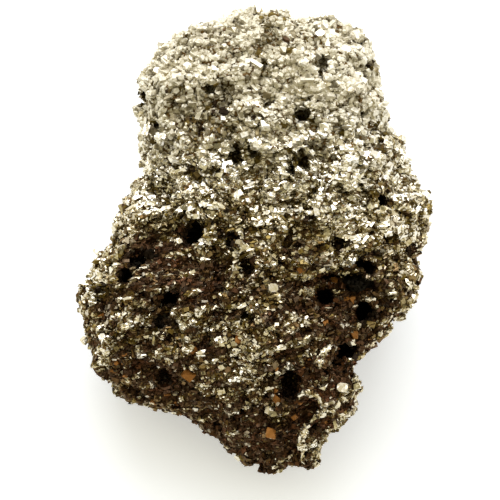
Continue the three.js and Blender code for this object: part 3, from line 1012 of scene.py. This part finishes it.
# %% Crystals along the ridges
RIDGE_STEP = 0.22 * MM  # from one chip to the next
RIDGE_SIZES = (0.28 * MM, 0.55 * MM)
RIDGE_SPREAD = 0.12 * MM  # how far the chips lie off the line
RIDGE_FLASH_SPREAD = 0.6  # how far their faces are off the flash
RIDGE_STRAY = 0.3  # how far a chip strays from the ridge's direction
RIDGE_LEAST_SIDES = (1.8, 0.6, 0.5)
RIDGE_MOST_SIDES = (3.0, 0.9, 0.8)
RIDGE_TONES = (0, 0.8)
RIDGE_TARNISH = (0, 0.45)
RIDGE_STAIN = 0.3


def ridge_crystals():
    """Clean chips along the ridges."""
    body_tree = tree_of(body.data)
    places, lines = [], []
    for start, end in ridge_stretches():
        number = math.ceil(np.linalg.norm(end - start) / RIDGE_STEP)
        for share in (np.arange(number) + 0.5) / number:
            near = start + share * (end - start) + RIDGE_SPREAD * generator.normal(size=3)
            places.append(body_tree.find_nearest(Vector(near) + RIDGE_HEIGHT * toward_camera)[0])
            lines.append((end - start) / np.linalg.norm(end - start))
    number = len(places)
    size = generator.uniform(*RIDGE_SIZES, number)
    third = unit(np.array(FLASH) + RIDGE_FLASH_SPREAD * generator.normal(size=(number, 3)))
    first = np.array(lines) + RIDGE_STRAY * generator.normal(size=(number, 3))
    stretch = size[:, None] * generator.uniform(RIDGE_LEAST_SIDES, RIDGE_MOST_SIDES, (number, 3))
    tone = generator.uniform(*RIDGE_TONES, number)
    tarnish = generator.uniform(*RIDGE_TARNISH, number)
    mark = open_marks(number, tone, RIDGE_STAIN, tarnish)
    return joined("ridge_crystals", [(SPLIT, np.array(places), turns_along(first, third), stretch, mark)])


crystals.append(ridge_crystals())
print("ridge_crystals", len(crystals[-1].data.polygons), "triangles")

# %% [markdown]
# ## Single crystals
#
# Some crystals on the face are noticed one by one: bright chips over the middle and the lower half, bright
# plates at the upper end, three olive crystals and a scatter of rust-orange ones. The random crystals
# can't be steered to such spots, so these are placed by the pixel at which the photograph shows them, on
# the roughened body.

# %% Single crystals that the photograph shows
BRIGHT_CRYSTALS = (  # x and y in the photograph's pixels, then the size in millimetres
    (351, 342, 1.2), (141, 353, 1.2), (203, 240, 1.1), (154, 383, 1.0), (114, 270, 1.2),
    (327, 265, 1.1), (354, 369, 1.1), (323, 386, 1.0), (357, 384, 1.2), (350, 394, 1.0),
)
BRIGHT_PLATES = (
    (346, 51, 1.3), (357, 75, 1.3), (320, 35, 1.3), (332, 38, 1.0), (158, 72, 1.2), (198, 76, 1.1),
    (264, 57, 1.1), (347, 24, 1.2), (309, 106, 1.1), (350, 90, 1.0), (295, 17, 1.2), (208, 36, 1.2),
    (193, 58, 1.1), (215, 70, 0.9), (300, 90, 1.0), (327, 84, 1.1),
)
OLIVE_CRYSTALS = ((342, 388, 1.5), (272, 411, 1.7), (272, 288, 1.4))
ORANGE_CRYSTALS = (
    (189, 374, 1.5), (271, 433, 1.3), (353, 335, 1.1), (240, 339, 1.1), (276, 399, 1.1),
    (334, 280, 1.0), (353, 300, 1.0), (102, 317, 1.0), (301, 269, 0.9), (327, 323, 0.9),
)


# %% Placing single crystals
SINGLE_LEAST_SIDES = (0.85, 0.75, 0.5)
SINGLE_MOST_SIDES = (1.1, 0.95, 0.7)
SINGLE_STAND = 0.2  # of its size, towards the camera


def single_crystals(name, spots_seen, shapes, flashing, tarnish, tone, stain):
    """Crystals at chosen pixels. Those that flash have a face turned to the light."""
    body_tree = tree_of(body.data)
    seen = [on_face(pixel_x, pixel_y, body_tree) for pixel_x, pixel_y, size in spots_seen]
    size = np.array([spot[2] for spot in spots_seen]) * MM
    place = np.array([spot[0] for spot in seen])
    number = len(spots_seen)
    normal = np.array([spot[1] for spot in seen])
    if flashing:
        turn = turns(np.tile(FLASH, (number, 1)), in_rows=0, flat_share=0, flash_share=1)
    else:
        turn = turns(normal, in_rows=0, flat_share=1, flash_share=0)
    stretch = size[:, None] * generator.uniform(SINGLE_LEAST_SIDES, SINGLE_MOST_SIDES, (number, 3))
    place = place + SINGLE_STAND * size[:, None] * np.array(toward_camera)
    mark = open_marks(number, tone, stain, tarnish)
    which = np.arange(number) % len(shapes)
    return joined(name, sorted_by_shape(shapes, which, place, turn, stretch, mark))


# %% Making the single crystals
CLEAN_LOOK = {"flashing": True, "tarnish": 0, "tone": 0.9, "stain": 0}
OLIVE_LOOK = {"flashing": False, "tarnish": 0.5, "tone": 0.65, "stain": 0}
RUSTY_LOOK = {"flashing": False, "tarnish": 0.8, "tone": 0.5, "stain": 1}
ROUND_SHAPES = (cornered_cube(), pyritohedron())
SINGLES = (
    ("bright_crystals", BRIGHT_CRYSTALS, (SHARD, WEDGE), CLEAN_LOOK),
    ("bright_plates", BRIGHT_PLATES, ROUND_SHAPES, CLEAN_LOOK),
    ("olive_crystals", OLIVE_CRYSTALS, ROUND_SHAPES, OLIVE_LOOK),
    ("orange_crystals", ORANGE_CRYSTALS, (SPLIT, WEDGE), RUSTY_LOOK),
)

for name, spots_seen, shapes, look in SINGLES:
    crystals.append(single_crystals(name, spots_seen, shapes, **look))
    print(name, len(spots_seen), "crystals")

# %% [markdown]
# ## Node maths as Python
#
# A material's nodes are easier to read as sums than as lists of links. The class below wraps a socket
# and adds Math nodes when Python's operators meet it. Every other node comes from one method.

# %% Node maths as Python
class Wire:
    """A node's output, with Python's operators."""

    def __init__(self, finish, socket):
        self.finish = finish
        self.socket = socket

    def maths(self, operation, *inputs):
        return self.finish.node("ShaderNodeMath", {"operation": operation}, dict(enumerate(inputs)))

    def __add__(self, other):
        return self.maths("ADD", self, other)

    def __radd__(self, other):
        return self.maths("ADD", other, self)

    def __sub__(self, other):
        return self.maths("SUBTRACT", self, other)

    def __rsub__(self, other):
        return self.maths("SUBTRACT", other, self)

    def __mul__(self, other):
        return self.maths("MULTIPLY", self, other)

    def ramp(self, start, end):
        """0 up to start, 1 from end on, and a smooth rise between."""
        settings = {"interpolation_type": "SMOOTHSTEP"}
        sockets = {"Value": self, "From Min": start, "From Max": end}
        return self.finish.node("ShaderNodeMapRange", settings, sockets)


class Finish:
    """A material, or the world, and its nodes."""

    def __init__(self, owner):
        owner.use_nodes = True
        self.owner = owner
        self.tree = owner.node_tree

    def put(self, node, key, value):
        if isinstance(value, Wire):
            self.tree.links.new(value.socket, node.inputs[key])
        else:
            node.inputs[key].default_value = value

    def node(self, kind, settings=None, sockets=None, output=0):
        made = self.tree.nodes.new(kind)
        for key, value in (settings or {}).items():
            setattr(made, key, value)
        for key, value in (sockets or {}).items():
            self.put(made, key, value)
        return Wire(self, made.outputs[output])

    def vector_maths(self, operation, sockets, output=0):
        return self.node("ShaderNodeVectorMath", {"operation": operation}, sockets, output)

    def mix(self, share, first, second):
        """A colour between two, by Blender's Mix node, whose colour sockets are 6 and 7."""
        return self.node("ShaderNodeMix", {"data_type": "RGBA"}, {0: share, 6: first, 7: second}, 2)

    def mark(self, name):
        """A number that the mesh holds for each point."""
        return self.node("ShaderNodeAttribute", {"attribute_name": name}, output="Fac")


# %% [markdown]
# ## The pyrite's finish
#
# Clean pyrite is a pale brass that mirrors its surroundings, so it is nearly all metal in the shader. This
# lump is silvery and rubbed dull at its upper end, and olive, bronze and brown further down, by tarnish and
# in part by painted shade. Its gaps and pits are darkened from olive to black, and so are some crystals
# beside
# larger ones: olive and brown there are dirt and painted shade, and the black is painted shade. A flat
# pattern laid over the whole lump would run across thousands of small faces. So each crystal carries its
# own random tone and stain and what is known of its place, and the nodes make its colour, metal and
# roughness of these. Neighbours then differ, as on the real piece. Real faces have fine growth steps too,
# so each is split into small ones that tilt a little.

# %% The pyrite's colours
SILVERY = (0.93, 0.91, 0.85, 1)
PALE_BRASS = (0.89, 0.84, 0.71, 1)
BRASS = (0.62, 0.55, 0.39, 1)
RUBBED = (0.63, 0.605, 0.515, 1)
OLIVE_BRONZE = (0.22, 0.16, 0.05, 1)
BRONZE = (0.18, 0.112, 0.047, 1)
TARNISH = (0.075, 0.04, 0.021, 1)
RUDDY_TARNISH = (0.1, 0.041, 0.018, 1)
RUST = (0.36, 0.15, 0.035, 1)
# The next three colours are for gaps and pits: olive and brown are dirt and painted shade, and the black is
# painted shade.
DIRT_AND_SHADE_OLIVE = (0.11, 0.075, 0.014, 1)
DIRT_AND_SHADE_BROWN = (0.044, 0.028, 0.018, 1)
PAINTED_PIT_SHADE = (0.006, 0.0045, 0.003, 1)
GRAZING_TINT = (0.94, 0.86, 0.66, 1)  # of what the metal mirrors at a slant
DIRTY_TINT = (0.4, 0.3, 0.16, 1)  # the same between the crystals

# %% Small steps on each face
STEP_SCALE = 1 / (0.3 * MM)


def stepped_normal(finish, tilt):
    """Splits a face into small steps, each tilted its own way."""
    place = finish.node("ShaderNodeTexCoord", output="Object")
    cells = finish.node("ShaderNodeTexVoronoi", {}, {"Vector": place, "Scale": STEP_SCALE}, "Color")
    sideways = finish.vector_maths("SUBTRACT", {0: cells, 1: (MEAN, MEAN, MEAN)})
    leaning = finish.vector_maths("SCALE", {0: sideways, "Scale": tilt})
    normal = finish.node("ShaderNodeNewGeometry", output="Normal")
    total = finish.vector_maths("ADD", {0: normal, 1: leaning})
    return finish.vector_maths("NORMALIZE", {0: total})


# %% [markdown]
# ## Tarnish, stains, dirt and painted shade in the finish
#
# A pair of numbers says at what value of a mark a change of colour starts and where it is whole. Tarnish
# is below 0 on the palest places and about 1 on brown ones. Tone and stain are random, from 0 to 1, so
# their mean is taken off first where they only spread the crystals round what their place has.

# %% Colours of clean and tarnished metal
PALENESS = (0, 0.6)  # of tarnish below 0
SILVERING = 0.5  # how silvery the palest crystals are
PALE_LIFT = 0.7  # how much nearer to pale brass they are
RUBBING = 0.6  # how dull a worn crystal is
PALE_RUBBING = 0.5  # how much less of that the palest ones have
TONE_SPREAD = 1.2  # how much a crystal's tone counts against its place's tarnish
BROWNING = (0.3, 0.75)
OLIVE_TO_BROWN = (0.3, 0.8)
STAIN_SPREAD = 0.5
DEEPENING = (0.6, 1.1)
REDDENING = (1.0, 1.4)
UNTOUCHED = (0.045, 0.055)  # a stain below these has left a crystal nearly clean
LEFT_CLEAN = 0.7
RUSTING = (0.985, 0.99)  # a stain above these is rust, on places with this tarnish
RUSTY_PLACES = (0.5, 0.8)


def clean_colour(finish, tone, tarnish, worn):
    """Brass, silvery on the palest places and dull on the worn ones."""
    pale = (0 - tarnish).ramp(*PALENESS)
    brass = finish.mix(tone + pale * PALE_LIFT, BRASS, PALE_BRASS)
    bright = finish.mix(pale * SILVERING, brass, SILVERY)
    return finish.mix(worn * (RUBBING - pale * PALE_RUBBING), bright, RUBBED)


def tarnished_colour(finish, tone, stain, tarnish, worn):
    """The metal's colour, and how browned, how deeply tarnished and how rusty it is."""
    clean = clean_colour(finish, tone, tarnish, worn)
    browned = (tarnish + (tone - MEAN) * TONE_SPREAD).ramp(*BROWNING)
    deep = (tarnish + (stain - MEAN) * STAIN_SPREAD).ramp(*DEEPENING)
    rusty = stain.ramp(*RUSTING) * tarnish.ramp(*RUSTY_PLACES)
    bronze = finish.mix(tarnish.ramp(*OLIVE_TO_BROWN), OLIVE_BRONZE, BRONZE)
    brown = finish.mix(tarnish.ramp(*REDDENING), TARNISH, RUDDY_TARNISH)
    metal = finish.mix(browned, clean, bronze)
    metal = finish.mix(deep, metal, brown)
    metal = finish.mix((1 - stain.ramp(*UNTOUCHED)) * LEFT_CLEAN, metal, clean)
    return finish.mix(rusty, metal, RUST), browned, deep, rusty


# %% Dirt and painted shade
SHADE_BLACKENING = (1.0, 1.4)  # how shut in a place is where the gaps' colour turns to painted black shade
DIRT_SPREAD = 0.2
GAP_DARKENING = (0.65, 1.05)
SPECKLING = (0.08, 0.26)  # a crystal with a stain below these has no dark rim
WORN_SPECKLE = 0.2  # how much further up these are on worn places
WORN_RIM = 0.3  # how much fainter a rim is where the crystal is worn
DEEP_RIM = 0.25  # and where it is dark already


def dirt_and_shade_colour(finish, tarnish, shut):
    """Olive to brown by the tarnish, as dirt and painted shade, and painted black shade deep down."""
    dirt = finish.mix(tarnish.ramp(*OLIVE_TO_BROWN), DIRT_AND_SHADE_OLIVE, DIRT_AND_SHADE_BROWN)
    return finish.mix(shut.ramp(*SHADE_BLACKENING), dirt, PAINTED_PIT_SHADE)


def dirt_and_shade_share(finish, stain, shut, worn, deep):
    """How far a crystal is darkened with dirt and painted shade: in gaps, and just beside a larger one."""
    dirt_and_shade = (shut + (stain - MEAN) * DIRT_SPREAD).ramp(*GAP_DARKENING)
    speckled = (stain - worn * WORN_SPECKLE).ramp(*SPECKLING)
    return dirt_and_shade + finish.mark("rim") * speckled * (1 - worn * WORN_RIM - deep * DEEP_RIM)


# %% The crystals' finish
CRYSTAL_METAL = 0.92
RUST_METAL = 0.5  # how much less of it rust has
DEEP_METAL = 0.1  # and deep tarnish
POLISH = 0.12  # the roughness of the cleanest crystals, and what adds to it
TONE_ROUGHNESS = 0.12
DEEP_ROUGHNESS = 0.12
BROWN_ROUGHNESS = 0.06
DIRT_ROUGHNESS = 0.2
WORN_ROUGHNESS = 0.45
CRYSTAL_TILT = 0.35  # of the small steps on its faces


def crystal_finish():
    finish = Finish(bpy.data.materials.new("brassy crystals"))
    shader = finish.tree.nodes["Principled BSDF"]
    tone = finish.mark("tone")
    stain = finish.mark("stain")
    tarnish = finish.mark("tarnish")
    shut = 1 - finish.mark("openness")
    worn = finish.mark("worn").ramp(0, 1)
    metal, browned, deep, rusty = tarnished_colour(finish, tone, stain, tarnish, worn)
    dirt_and_shade = dirt_and_shade_share(finish, stain, shut, worn, deep)
    # Crystals in gaps and beside larger ones get the dark colour: dirt and painted shade.
    finish.put(shader, "Base Color", finish.mix(dirt_and_shade, metal, dirt_and_shade_colour(finish, tarnish, shut)))
    finish.put(shader, "Metallic", CRYSTAL_METAL - rusty * RUST_METAL - deep * DEEP_METAL)
    finish.put(shader, "Specular Tint", GRAZING_TINT)
    smooth = POLISH + tone * TONE_ROUGHNESS + deep * DEEP_ROUGHNESS + browned * BROWN_ROUGHNESS
    finish.put(shader, "Roughness", smooth + dirt_and_shade * DIRT_ROUGHNESS + worn * worn * WORN_ROUGHNESS)
    finish.put(shader, "Normal", stepped_normal(finish, CRYSTAL_TILT))
    return finish.owner


crystal_material = crystal_finish()
print("nodes in the crystals' finish:", len(crystal_material.node_tree.nodes))

# %% The finish between the crystals
BODY_METAL = 0.9
BODY_ROUGHNESS = 0.4
BODY_BROWNING = (0, 0.9)
BODY_GAP_DARKENING = (0.3, 0.8)
BODY_TILT = 1.0


def body_finish():
    finish = Finish(bpy.data.materials.new("pyrite between the crystals"))
    shader = finish.tree.nodes["Principled BSDF"]
    tarnish = finish.mark("tarnish")
    shut = 1 - finish.mark("openness")
    metal = finish.mix(tarnish.ramp(*BODY_BROWNING), BRONZE, TARNISH)
    # The body is darkened where it is shut in: dirt and painted shade.
    dirt_and_shade = shut.ramp(*BODY_GAP_DARKENING)
    finish.put(shader, "Base Color", finish.mix(dirt_and_shade, metal, dirt_and_shade_colour(finish, tarnish, shut)))
    finish.put(shader, "Metallic", BODY_METAL)
    finish.put(shader, "Roughness", BODY_ROUGHNESS)
    finish.put(shader, "Specular Tint", DIRTY_TINT)
    finish.put(shader, "Normal", stepped_normal(finish, BODY_TILT))
    return finish.owner


body_material = body_finish()
print("nodes in the body's finish:", len(body_material.node_tree.nodes))

# %% Finishes and places on the model
body.data.materials.clear()
body.data.materials.append(body_material)
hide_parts(LUMP)
for piece in crystals:
    piece.data.materials.append(crystal_material)
for piece in [body, *crystals]:
    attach(piece, "root")
print("pieces:", 1 + len(crystals))

# %% [markdown]
# ## Floor and light
#
# The floor is plain and nearly white, with a little light of its own, so that the shadow stays soft. In
# the photograph the light comes from beyond the lump's upper end and the near side is dim and warm. A
# large soft lamp stands beyond that end, and the sky is bright there and dim on the near side. An even
# sky would make a metal lump look flat, because metal shows what it mirrors. This difference is what makes
# the upper end pale and the lower end dark.

# %% Floor
FLOOR_SPREAD = 1.5  # metres, from its middle to its sides
FLOOR_COLOUR = (0.84, 0.88, 0.96, 1)
FLOOR_ROUGHNESS = 0.7
FLOOR_LIGHT = (0.98, 0.99, 1, 1)
FLOOR_GLOW = 0.4


def pale_floor():
    shape = bmesh.new()
    bmesh.ops.create_grid(shape, x_segments=1, y_segments=1, size=FLOOR_SPREAD)
    mesh = mesh_of(shape, "floor")
    finish = Finish(bpy.data.materials.new("pale floor"))
    shader = finish.tree.nodes["Principled BSDF"]
    finish.put(shader, "Base Color", FLOOR_COLOUR)
    finish.put(shader, "Roughness", FLOOR_ROUGHNESS)
    finish.put(shader, "Emission Color", FLOOR_LIGHT)
    finish.put(shader, "Emission Strength", FLOOR_GLOW)
    mesh.materials.append(finish.owner)
    return made_piece("floor", mesh)


pale_floor()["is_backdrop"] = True
print("floor:", 2 * FLOOR_SPREAD, "m wide")

# %% Light
SKY_SIDE = Vector((0.15, 0.95, 0)).normalized()
SKY_RISE = (-1.0, 0.2)  # where it brightens, from -1 on the near side to 1 on the far one
COLOUR_RISE = (-0.6, 0.5)  # where its colour changes, in the same way
NEAR_SKY = 0.1
FAR_SKY = 1.12
NEAR_COLOUR = (1, 0.88, 0.46, 1)
FAR_COLOUR = (1, 1, 0.99, 1)
LAMP_PLACE = Vector((0.0, 0.42, 0.36))
LAMP_SIDE = 0.5  # metres
LAMP_POWER = 2.1  # watts


def soft_sky():
    """Bright beyond the lump's upper end, and dim and warm on the near side."""
    world = bpy.data.worlds.new("studio")
    bpy.context.scene.world = world
    finish = Finish(world)
    direction = finish.node("ShaderNodeTexCoord", output="Generated")
    away = finish.vector_maths("DOT_PRODUCT", {0: direction, 1: SKY_SIDE}, "Value")
    background = finish.tree.nodes["Background"]
    finish.put(background, "Color", finish.mix(away.ramp(*COLOUR_RISE), NEAR_COLOUR, FAR_COLOUR))
    finish.put(background, "Strength", NEAR_SKY + away.ramp(*SKY_RISE) * (FAR_SKY - NEAR_SKY))


def soft_lamp():
    lamp = bpy.data.objects.new("window light", bpy.data.lights.new("window light", "AREA"))
    bpy.context.scene.collection.objects.link(lamp)
    lamp.data.size = LAMP_SIDE
    lamp.data.energy = LAMP_POWER
    facing = (middle - LAMP_PLACE).to_track_quat("-Z", "Y").to_matrix().to_4x4()
    lamp.matrix_world = Matrix.Translation(LAMP_PLACE) @ facing
    return lamp


soft_sky()
print("lamp:", round((soft_lamp().matrix_world.translation - middle).length, 2), "m from the lump")
bpy.context.scene.view_settings.view_transform = "Standard"

# %% [markdown]
#
# The crystals must not make the lump bigger than the imported solid. Both boxes are given as the script's
# last value.

boxes = {"cad": cad_bounds, "visual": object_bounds()}
{name: [list(corner) for corner in box] for name, box in boxes.items()}
